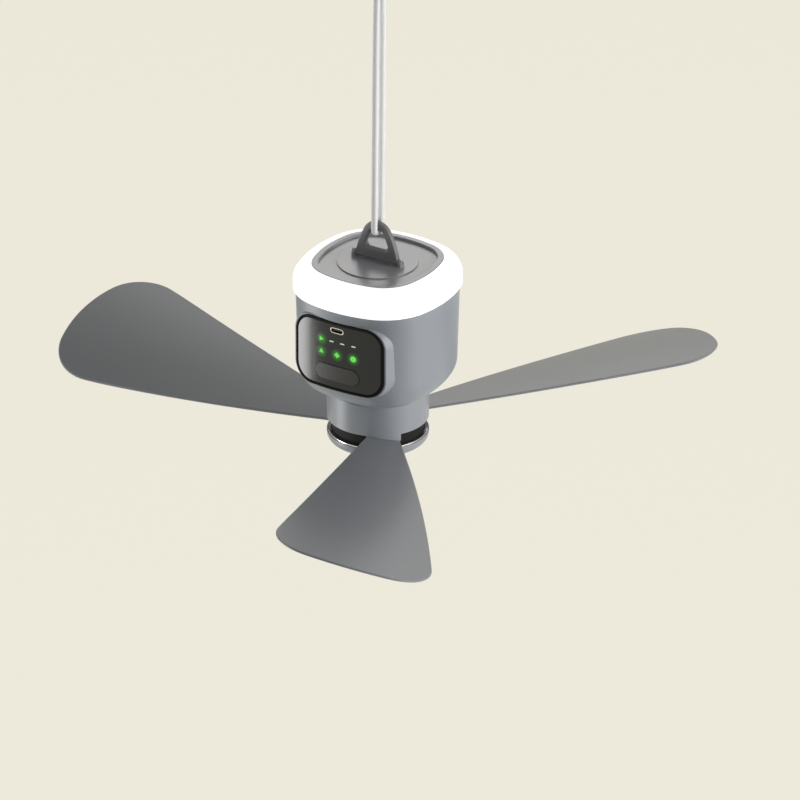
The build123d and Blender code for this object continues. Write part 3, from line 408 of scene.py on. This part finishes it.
@dataclass(frozen=True)
class CircuitBoard(Finish):
    """Glass-fibre board under green lacquer: copper tracks show as paler lines.

    Attributes:
        track: Colour of the tracks under the lacquer.
        track_mm: Spacing of the tracks.
        track_share: Half a track's width, as a share of the spacing.
    """

    track: str = "#2f7a4a"
    track_mm: float = 3.0
    track_share: float = 0.08

    def surface(self, ground: Ground) -> None:
        """Draw the tracks as the borders of cells.

        Args:
            ground: The material being made.
        """
        cells = add_node(
            ground.tree, "ShaderNodeTexVoronoi",
            {"feature": "DISTANCE_TO_EDGE", "Scale": per_metre(self.track_mm)}, {"Vector": ground.place},
        )
        lines = add_node(
            ground.tree, "ShaderNodeMapRange", {"From Max": self.track_share, "To Min": 1.0, "To Max": 0.0},
            {"Value": (cells, "Distance")},
        )
        ground.tint((lines, "Result"), self.shade, self.track)


class Skin(Enum):
    """Every finish on the fan, by its name in the workshop."""

    # Injection-moulded ABS with a fine grain: soft, even highlights down the body
    BODY_GREY = MouldedPlastic("satin_grey_abs", "#8c9096", 0.4, second_shade="#91959a")
    # Moulded polypropylene: a little darker and duller than the body
    BLADE_GREY = MouldedPlastic(
        "satin_grey_polypropylene", "#83858a", 0.42, ior=1.49, second_shade="#888a8f",
    )
    # ABS from a polished mould: the hook shows in it as a soft reflection
    COVER_GREY = MouldedPlastic(
        "gloss_grey_abs", "#a3a2a6", 0.3, second_shade="#a7a6aa", grain_depth_mm=0.002,
    )
    # Moulded nylon: the darkest grey, with a sheen along its edges
    HOOK_GREY = MouldedPlastic(
        "hook_grey_nylon", "#717073", 0.4, second_shade="#767578", grain_depth_mm=0.006,
    )
    # Opal acrylic with lamps behind it: an even white glow that hides them
    LAMP_WHITE = LitPlastic("opal_lamp_acrylic", "#f4f4f1", 0.35, ior=1.49, glow="#ffffff", power=0.72)
    # Smoked acrylic with a polished face: near black, and mirrors the strip lamp at its left
    PANEL_BLACK = Finish(
        "polished_smoked_acrylic", "#070c11", 0.18, ior=1.49, second_shade="#0a0f14", gloss_drift=0.02,
    )
    # Moulded rubber: its fine pits swallow light, so it stays black beside the panel
    BEZEL_BLACK = MouldedPlastic(
        "black_rubber_frame", "#040404", 0.68, second_shade="#070707", specular=0.12,
    )
    # Moulded ABS key: paler and duller than the panel, so its outline shows
    BUTTON_BLACK = MouldedPlastic("satin_black_abs", "#1c1c1d", 0.38, second_shade="#212122")
    # Clear green windows over lamps: bright, with dimmer spots
    LENS_GREEN = LitPlastic(
        "green_lamp_lens", "#1f7a24", 0.2, glow="#62e04a", power=1.0, dip=0.35, lamp_mm=1.4,
    )
    # Clear windows over weaker lamps: a dull white
    LENS_WHITE = LitPlastic(
        "white_lamp_lens", "#d8dcd8", 0.2, glow="#dde4dd", power=0.42, dip=0.2, lamp_mm=1.4,
    )
    # Nickel plate on drawn steel: a bright rim round the port
    PORT_STEEL = BrushedMetal("nickel_plated_shell", "#d6d5d0", 0.24, metallic=1.0, second_shade="#cbcac6")
    # Chrome plate: a thin bright line with sharp glints
    CHROME = BrushedMetal("chrome_plated_ring", "#cdced0", 0.2, metallic=1.0, second_shade="#c3c4c7")
    # Braided polyester: matt white that brightens towards its sides
    CORD_WHITE = BraidedCord("white_polyester_braid", "#f1f1ef", 0.75, second_shade="#e9e9e6", drift_mm=3.0)
    # Moulded nylon with a rough face: a band that looks like a gap
    CARRIER_BLACK = MouldedPlastic("black_nylon", "#070708", 0.7, second_shade="#0b0b0c", specular=0.2)
    # Plain moulded ABS inside the body: dull black
    INNER_BLACK = MouldedPlastic("black_inner_abs", "#17171a", 0.5, second_shade="#1d1d20")
    # Zinc plate on steel: mid grey with drawn-out glints
    STEEL = BrushedMetal("zinc_plated_steel", "#a9abad", 0.32, metallic=1.0, second_shade="#9b9da0")
    # Cast and turned alloy: paler and duller than the steel
    ALLOY = BrushedMetal("cast_alloy", "#b4b6b8", 0.45, metallic=1.0, second_shade="#a3a5a8")
    # Lacquered glass fibre: glossy green with paler tracks
    BOARD_GREEN = CircuitBoard("green_circuit_board", "#14502c", 0.35, second_shade="#185934")
    # Phosphor poured over a lamp chip: a warm glow
    LED_YELLOW = LitPlastic("lamp_chip_phosphor", "#e8d98a", 0.4, glow="#fff6d8", power=0.6)
    # Shrunk-on sleeve: smooth, shiny blue
    CELL_BLUE = Finish("blue_cell_sleeve", "#2a5f96", 0.3, second_shade="#2f67a0")
    # Enamelled wire: each turn catches its own glint
    COPPER = WoundWire("enamelled_copper_wire", "#b06a34", 0.3, metallic=1.0, second_shade="#a05f2d")
    # Powder pressed and sintered: dark and grainy
    MAGNET = MouldedPlastic("sintered_magnet", "#2b2b2d", 0.55, second_shade="#333336")

    def material(self) -> bpy.types.Material:
        """Return this finish's material, made when first asked for."""
        found = bpy.data.materials.get(self.value.name)
        return found or self.value.build()


def dress(nodes: dict[str, bpy.types.Object], names: Iterable[str], skin: Skin) -> None:
    """Give solids their finish.

    Args:
        nodes: The solids by name.
        names: Those to dress.
        skin: The finish they get.
    """
    for name in names:
        solid = nodes[name]
        solid.data.materials.clear()
        solid.data.materials.append(skin.material())
        LOG.info("dressed %s in %s", name, skin.value.name)


@dataclass
class Camera:
    """The camera that took the view: far off, so nearly without perspective.

    Attributes:
        azimuth_deg: Turn round the fan from the panel's front.
        elevation_deg: Height over the horizon.
        distance: Metres from the fan.
        lens_mm: Focal length.
        sensor_mm: Width of the sensor.
        far: Metres beyond which nothing is drawn.
        aim: Point on the rotor's axis that the offsets are measured from.
        right: Metres from there to the middle of the picture, to the right.
        up: The same, upwards in the picture.
    """

    azimuth_deg: float = 32.0
    elevation_deg: float = 26.42
    distance: float = 8.0
    lens_mm: float = 584.7
    sensor_mm: float = 36.0
    far: float = 100.0
    aim: tuple[float, float, float] = (0.0, 0.0, -0.1293)
    right: float = 0.01359
    up: float = 0.01106

    def build(self) -> None:
        """Make the camera and hand it to the scene."""
        turn = math.radians(self.azimuth_deg)
        rise = math.radians(self.elevation_deg)
        back = Vector((math.sin(turn) * math.cos(rise), -math.cos(turn) * math.cos(rise), math.sin(rise)))
        facing = (-back).to_track_quat("-Z", "Y")
        data = bpy.data.cameras.new("view_camera")
        data.lens = self.lens_mm
        data.sensor_width = self.sensor_mm
        data.clip_end = self.far
        camera = bpy.data.objects.new("view_camera", data)
        middle = Vector(self.aim) + facing @ Vector((self.right, self.up, 0.0))
        camera.location = middle + back * self.distance
        camera.rotation_euler = facing.to_euler()
        bpy.context.scene.collection.objects.link(camera)
        bpy.context.scene.camera = camera


@dataclass
class SoftLamp:
    """A large soft lamp.

    Attributes:
        name: Its name.
        place: Where it hangs, in metres.
        width: Its width.
        height: Its height.
        power: Its power in watts.
    """

    name: str
    place: tuple[float, float, float]
    width: float
    height: float
    power: float

    def build(self, aim: Vector) -> None:
        """Hang the lamp and point it.

        Args:
            aim: The point it faces.
        """
        data = bpy.data.lights.new(self.name, "AREA")
        data.shape = "RECTANGLE"
        data.size = self.width
        data.size_y = self.height
        data.energy = self.power
        lamp = bpy.data.objects.new(self.name, data)
        lamp.location = self.place
        lamp.visible_camera = False
        lamp.rotation_euler = (aim - Vector(self.place)).to_track_quat("-Z", "Y").to_euler()
        bpy.context.scene.collection.objects.link(lamp)


@dataclass
class Studio:
    """The pale floor and the soft light: softboxes at the right and behind, a strip at the left, a dim room.

    Attributes:
        floor_z: Height of the floor under the hanging fan.
        floor_half: Half the floor's width.
        wall_shade: Colour of floor and background.
        floor_shade: Colour of the light that the floor throws back.
        sky_shade: Colour of the light from all round.
        sky_power: Brightness of that light.
        shadow_share: How much of the floor's own light and shadow shows.
        lamps: The lamps.
        lamp_aim: The point they face, in the body.
    """

    floor_z: float = -0.95
    floor_half: float = 40.0
    wall_shade: str = "#f2eedf"
    floor_shade: str = "#d9dadc"
    sky_shade: str = "#f1f3f6"
    sky_power: float = 0.22
    shadow_share: float = 0.08
    lamps: tuple[SoftLamp, ...] = (
        SoftLamp("right_softbox", (1.55, 0.25, 0.05), 0.9, 1.3, 24.0),
        SoftLamp("left_strip", (-1.19, -0.75, -0.42), 0.45, 0.9, 11.5),
        SoftLamp("back_softbox", (-1.05, 1.67, 0.95), 1.6, 1.0, 11.0),
    )
    lamp_aim: tuple[float, float, float] = (0.0, 0.0, -0.08)

    def build(self) -> None:
        """Lay the floor, set the world and hang the lamps."""
        self.lay_floor()
        self.set_world()
        for lamp in self.lamps:
            lamp.build(Vector(self.lamp_aim))
        bpy.context.scene.view_settings.view_transform = "Standard"

    def seen(self, tree: bpy.types.NodeTree) -> Link:
        """Tell what the eye sees, straight or in metal and glass, from what only lights the fan.

        Args:
            tree: The node tree that asks.

        Returns:
            An output that is 1 where the eye sees it.
        """
        path = add_node(tree, "ShaderNodeLightPath")
        mirrored = add_node(
            tree, "ShaderNodeMath", {"operation": "ADD"},
            {0: (path, "Is Camera Ray"), 1: (path, "Is Glossy Ray")},
        )
        through = add_node(
            tree, "ShaderNodeMath", {"operation": "ADD", "use_clamp": True},
            {0: (mirrored, "Value"), 1: (path, "Is Transmission Ray")},
        )
        return (through, "Value")

    def lay_floor(self) -> None:
        """Lay a floor that the eye sees in one even tone, clear from below."""
        half = self.floor_half
        mesh = bpy.data.meshes.new("floor")
        square = ((-half, -half), (half, -half), (half, half), (-half, half))
        mesh.from_pydata([(x, y, self.floor_z) for x, y in square], [], [(0, 1, 2, 3)])
        floor = bpy.data.objects.new("floor", mesh)
        bpy.context.scene.collection.objects.link(floor)
        material = bpy.data.materials.new("floor_paint")
        material.use_nodes = True
        tree = material.node_tree
        tree.nodes.clear()
        paint = add_node(tree, "ShaderNodeBsdfDiffuse", {"Color": linear(self.floor_shade)})
        even = add_node(tree, "ShaderNodeEmission", {"Color": linear(self.wall_shade)})
        shown = add_node(
            tree, "ShaderNodeMath", {"operation": "MULTIPLY", 1: 1 - self.shadow_share},
            {0: self.seen(tree)},
        )
        top = add_node(
            tree, "ShaderNodeMixShader", {},
            {0: (shown, "Value"), 1: (paint, "BSDF"), 2: (even, "Emission")},
        )
        side = add_node(tree, "ShaderNodeNewGeometry")
        clear = add_node(tree, "ShaderNodeBsdfTransparent")
        both = add_node(
            tree, "ShaderNodeMixShader", {},
            {0: (side, "Backfacing"), 1: (top, "Shader"), 2: (clear, "BSDF")},
        )
        add_node(tree, "ShaderNodeOutputMaterial", {}, {"Surface": (both, "Shader")})
        mesh.materials.append(material)

    def set_world(self) -> None:
        """Light from all round, and show the wall's tone behind the fan."""
        world = bpy.data.worlds.new("soft_room")
        bpy.context.scene.world = world
        world.use_nodes = True
        tree = world.node_tree
        tree.nodes.clear()
        light = add_node(
            tree, "ShaderNodeBackground", {"Color": linear(self.sky_shade), "Strength": self.sky_power},
        )
        wall = add_node(tree, "ShaderNodeBackground", {"Color": linear(self.wall_shade), "Strength": 1.0})
        mix = add_node(
            tree, "ShaderNodeMixShader", {},
            {0: self.seen(tree), 1: (light, "Background"), 2: (wall, "Background")},
        )
        add_node(tree, "ShaderNodeOutputWorld", {}, {"Surface": (mix, "Shader")})


@dataclass
class Cord:
    """The white braided cord: two taut strands round the hook, a knot and the loop it hangs by.

    Sizes are in millimetres. A route point is (side, rise): to one side of the cord's middle along Y,
    and up along the leaning cord from the middle of the turn round the hook.

    Attributes:
        radius: Half the cord's thickness.
        turn_z: Height of the middle of the turn round the hook.
        lean_deg: How far the cord leans.
        strands: Route of the strands, from the knot round the hook and back.
        loop: Route of the loop over the knot.
        wraps: Turns of cord in the knot.
        wrap_radius: Radius of those turns.
        wrap_pitch: Rise from one turn to the next.
        knot_rise: Where the knot's turns begin.
        sides: Corners round the braid's mesh.
        yarns: Yarns that run each way round.
        lay_mm: Length in which a yarn goes once round.
        ridge: Height of the yarns.
        turn_steps: Route points for each turn in the knot.
        strand_steps: Line points for each route point of the strands.
        loop_steps: The same for the loop.
        wrap_steps: The same for the knot.
    """

    radius: float = 2.0
    turn_z: float = 1.9
    lean_deg: float = 0.58
    strands: tuple[tuple[float, float], ...] = (
        (-2.1, 178.0), (-2.3, 166.0), (-4.0, 148.0), (-4.0, 26.0), (-4.0, 4.0), (-4.0, -4.0),
        (4.0, -4.0), (4.0, 4.0), (4.0, 26.0), (4.0, 148.0), (2.3, 166.0), (2.1, 178.0),
    )
    loop: tuple[tuple[float, float], ...] = (
        (-2.1, 178.0), (-6.0, 190.0), (-6.0, 202.0), (-6.0, 214.8),
        (6.0, 214.8), (6.0, 202.0), (6.0, 190.0), (2.1, 178.0),
    )
    wraps: int = 4
    wrap_radius: float = 6.4
    wrap_pitch: float = 3.9
    knot_rise: float = 168.9
    sides: int = 24
    yarns: int = 6
    lay_mm: float = 9.0
    ridge: float = 0.12
    turn_steps: int = 12
    strand_steps: int = 150
    loop_steps: int = 40
    wrap_steps: int = 8

    def place(self, side: float, rise: float, out: float = 0.0) -> Vector:
        """Turn a route point into metres in the fan's frame.

        Args:
            side: Millimetres along Y.
            rise: Millimetres up the leaning cord.
            out: Millimetres square to both.

        Returns:
            The point.
        """
        lean = math.radians(self.lean_deg)
        along = Vector((math.sin(lean), 0.0, math.cos(lean)))
        across = Vector((math.cos(lean), 0.0, -math.sin(lean)))
        point = Vector((0.0, side, self.turn_z)) + along * rise + across * out
        return point * MM

    def route(self, name: str, points: list[Vector], resolution: int) -> list[Vector]:
        """Lay a smooth line through a route and read its points.

        Args:
            name: Name of the route.
            points: Its control points.
            resolution: Points for each of them.

        Returns:
            Points along the smooth line.
        """
        data = bpy.data.curves.new(name, "CURVE")
        data.dimensions = "3D"
        spline = data.splines.new("NURBS")
        spline.points.add(len(points) - 1)
        for control, point in zip(spline.points, points):
            control.co = (*point, 1.0)
        spline.order_u = ROUTE_ORDER
        spline.use_endpoint_u = True
        spline.resolution_u = resolution
        line = bpy.data.objects.new(name, data)
        bpy.context.scene.collection.objects.link(line)
        bpy.context.view_layer.update()
        ready = line.evaluated_get(bpy.context.evaluated_depsgraph_get())
        mesh = bpy.data.meshes.new_from_object(ready)
        found = [vertex.co.copy() for vertex in mesh.vertices]
        bpy.data.meshes.remove(mesh)
        bpy.data.objects.remove(line)
        bpy.data.curves.remove(data)
        return found

    def braid(self, name: str, line: list[Vector]) -> bpy.types.Object:
        """Braid a round cord along a line.

        Args:
            name: Name of the piece.
            line: Points along its middle.

        Returns:
            The cord as a mesh.
        """
        verts: list[Vector] = []
        faces: list[tuple[int, ...]] = []
        forward = (line[1] - line[0]).normalized()
        side = forward.orthogonal().normalized()
        run = 0.0
        for number, point in enumerate(line):
            ahead = line[min(number + 1, len(line) - 1)] - line[max(number - 1, 0)]
            ahead.normalize()
            side = (side - ahead * side.dot(ahead)).normalized()
            over = ahead.cross(side)
            if number:
                run += (point - line[number - 1]).length / MM
            twist = 2 * math.pi * run / self.lay_mm
            for corner in range(self.sides):
                angle = 2 * math.pi * corner / self.sides
                crossing = math.cos(self.yarns * angle + twist) * math.cos(self.yarns * angle - twist)
                reach = (self.radius - self.ridge + self.ridge * abs(crossing)) * MM
                verts.append(point + (side * math.cos(angle) + over * math.sin(angle)) * reach)
        for ring in range(len(line) - 1):
            first = ring * self.sides
            above = first + self.sides
            for corner in range(self.sides):
                after = (corner + 1) % self.sides
                faces.append((first + corner, first + after, above + after, above + corner))
        faces.append(tuple(reversed(range(self.sides))))
        faces.append(tuple(range(len(verts) - self.sides, len(verts))))
        mesh = bpy.data.meshes.new(name)
        mesh.from_pydata(verts, [], faces)
        mesh.polygons.foreach_set("use_smooth", [len(face) == 4 for face in faces])
        mesh.materials.append(Skin.CORD_WHITE.material())
        piece = bpy.data.objects.new(name, mesh)
        bpy.context.scene.collection.objects.link(piece)
        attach(piece, "hook")
        LOG.info("braided %s, %d points", name, len(line))
        return piece

    def wrap_points(self) -> list[Vector]:
        """Lay out the knot's turns, one over the other.

        Returns:
            The points of their route.
        """
        points = []
        for step in range(self.turn_steps * self.wraps + 1):
            angle = 2 * math.pi * step / self.turn_steps
            side = self.wrap_radius * math.cos(angle)
            rise = self.knot_rise + self.radius + self.wrap_pitch * step / self.turn_steps
            out = self.wrap_radius * math.sin(angle)
            points.append(self.place(side, rise, out))
        return points

    def build(self) -> None:
        strand_line = self.route("strand_route", [self.place(*p) for p in self.strands], self.strand_steps)
        loop_line = self.route("loop_route", [self.place(*p) for p in self.loop], self.loop_steps)
        wrap_line = self.route("wrap_route", self.wrap_points(), self.wrap_steps)
        strands = self.braid("braided_strands", strand_line)
        loop = self.braid("braided_loop", loop_line)
        knot = self.braid("barrel_knot", wrap_line)
        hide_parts("hanging_cord")
        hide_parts("cord_loop")
        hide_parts("cord_knot")


def groups(points: Iterable[Vector], reach: float) -> list[Vector]:
    """Find the middles of points that lie in separate groups.

    Args:
        points: The points.
        reach: More than a group is wide.

    Returns:
        The middle of each group.
    """
    found: list[list[Vector]] = []
    for point in points:
        near = next((group for group in found if (group[0] - point).length < reach), None)
        if near:
            near.append(point)
        else:
            found.append([point])
    return [sum(group, Vector()) / len(group) for group in found]


@dataclass
class Head:
    """The hook, its pin, the top cover and the lamp ring.

    Attributes:
        nodes: The solids by name.
    """

    nodes: dict[str, bpy.types.Object]

    def build(self) -> None:
        """Dress the head's solids."""
        dress(self.nodes, ["hook_bail"], Skin.HOOK_GREY)
        dress(self.nodes, ["top_cover"], Skin.COVER_GREY)
        dress(self.nodes, ["light_diffuser"], Skin.LAMP_WHITE)
        dress(self.nodes, ["hook_pin", "cover_screws", "chassis_screws"], Skin.STEEL)
        dress(self.nodes, ["light_chassis"], Skin.INNER_BLACK)
        dress(self.nodes, ["led_board"], Skin.BOARD_GREEN)
        dress(self.nodes, ["led_chips"], Skin.LED_YELLOW)


@dataclass
class Body:
    """The housing, its control panel and what is behind it.

    Attributes:
        nodes: The solids by name.
        painted_glow_shade: Colour of the green glow painted into the panel round the lamps.
        painted_glow_power: Brightness of that painted glow at the lamp.
        painted_glow_reach: How many millimetres the painted glow spreads.
        lamp_reach: More millimetres than a lamp window is wide.
    """

    nodes: dict[str, bpy.types.Object]
    painted_glow_shade: str = "#4fe03a"
    painted_glow_power: float = 0.22
    painted_glow_reach: float = 5.5
    lamp_reach: float = 4.5

    def build(self) -> None:
        """Dress the body's solids."""
        dress(self.nodes, ["main_housing"], Skin.BODY_GREY)
        dress(self.nodes, ["panel_bezel"], Skin.BEZEL_BLACK)
        dress(self.nodes, ["control_panel"], Skin.PANEL_BLACK)
        dress(self.nodes, ["power_button"], Skin.BUTTON_BLACK)
        dress(self.nodes, ["green_indicators"], Skin.LENS_GREEN)
        dress(self.nodes, ["white_level_bars"], Skin.LENS_WHITE)
        dress(self.nodes, ["usb_port_shell"], Skin.PORT_STEEL)
        dress(self.nodes, ["usb_port_tongue", "tact_switch", "battery_tray"], Skin.INNER_BLACK)
        dress(self.nodes, ["control_board", "battery_board"], Skin.BOARD_GREEN)
        dress(self.nodes, ["board_screws", "tray_screws", "cell_strips"], Skin.STEEL)
        dress(self.nodes, ["indicator_leds"], Skin.LED_YELLOW)
        dress(self.nodes, ["battery_cells"], Skin.CELL_BLUE)
        # Painted glow: green light painted into the panel round its lamp windows
        self.paint_glow_round_lamps()

    def paint_glow_round_lamps(self) -> None:
        """Paint a green glow into the smoked acrylic round each green lamp's window: painted light that
        fades with distance.
        """
        solid = self.nodes["green_indicators"]
        lowest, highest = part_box("green_indicators")
        middle_y = (lowest[1] + highest[1]) / 2
        fronts = [vertex.co for vertex in solid.data.vertices if vertex.co.y < middle_y]
        material = Skin.PANEL_BLACK.material()
        tree = material.node_tree
        shader = tree.nodes["Principled BSDF"]
        shader.inputs["Emission Color"].default_value = linear(self.painted_glow_shade)
        place = add_node(tree, "ShaderNodeTexCoord")
        total: Link | None = None
        for centre in groups(fronts, self.lamp_reach * MM):
            away = add_node(
                tree, "ShaderNodeVectorMath", {"operation": "DISTANCE", 1: centre}, {0: (place, "Object")},
            )
            # Painted glow: green emission in the panel, fading away from this lamp window
            painted_halo = add_node(
                tree, "ShaderNodeMapRange",
                {"interpolation_type": "SMOOTHERSTEP", "From Max": self.painted_glow_reach * MM,
                 "To Min": self.painted_glow_power, "To Max": 0.0},
                {"Value": (away, "Value")},
            )
            if total:
                both = add_node(
                    tree, "ShaderNodeMath", {"operation": "ADD"}, {0: total, 1: (painted_halo, "Result")},
                )
                total = (both, "Value")
            else:
                total = (painted_halo, "Result")
        tree.links.new(total[0].outputs[total[1]], shader.inputs["Emission Strength"])


@dataclass
class Rotor:
    """The motor, the turning neck, the blades and the bottom cap.

    Attributes:
        nodes: The solids by name.
    """

    nodes: dict[str, bpy.types.Object]

    def build(self) -> None:
        """Dress the motor's and the rotor's solids."""
        dress(self.nodes, ["hub_shell", "bottom_cap"], Skin.BODY_GREY)
        dress(self.nodes, ["blade_1", "blade_2", "blade_3"], Skin.BLADE_GREY)
        dress(self.nodes, ["blade_carrier"], Skin.CARRIER_BLACK)
        dress(self.nodes, ["chrome_ring"], Skin.CHROME)
        dress(self.nodes, ["motor_base"], Skin.ALLOY)
        dress(self.nodes, ["stator_coils"], Skin.COPPER)
        dress(self.nodes, ["motor_board"], Skin.BOARD_GREEN)
        dress(self.nodes, ["magnet_ring"], Skin.MAGNET)
        steel = ["stator_core", "upper_bearing", "lower_bearing", "motor_shaft", "shaft_clip", "rotor_can",
                 "base_screws", "hub_screws", "carrier_screws", "blade_screws", "cap_screws"]
        dress(self.nodes, steel, Skin.STEEL)


def main() -> None:
    """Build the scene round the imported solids."""
    logging.basicConfig(level=logging.INFO, format="%(name)s: %(message)s")
    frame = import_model()
    Camera().build()
    Cord().build()
    Head(frame["nodes"]).build()
    Body(frame["nodes"]).build()
    Rotor(frame["nodes"]).build()
    Studio().build()


if __name__ == "__main__":
    main()
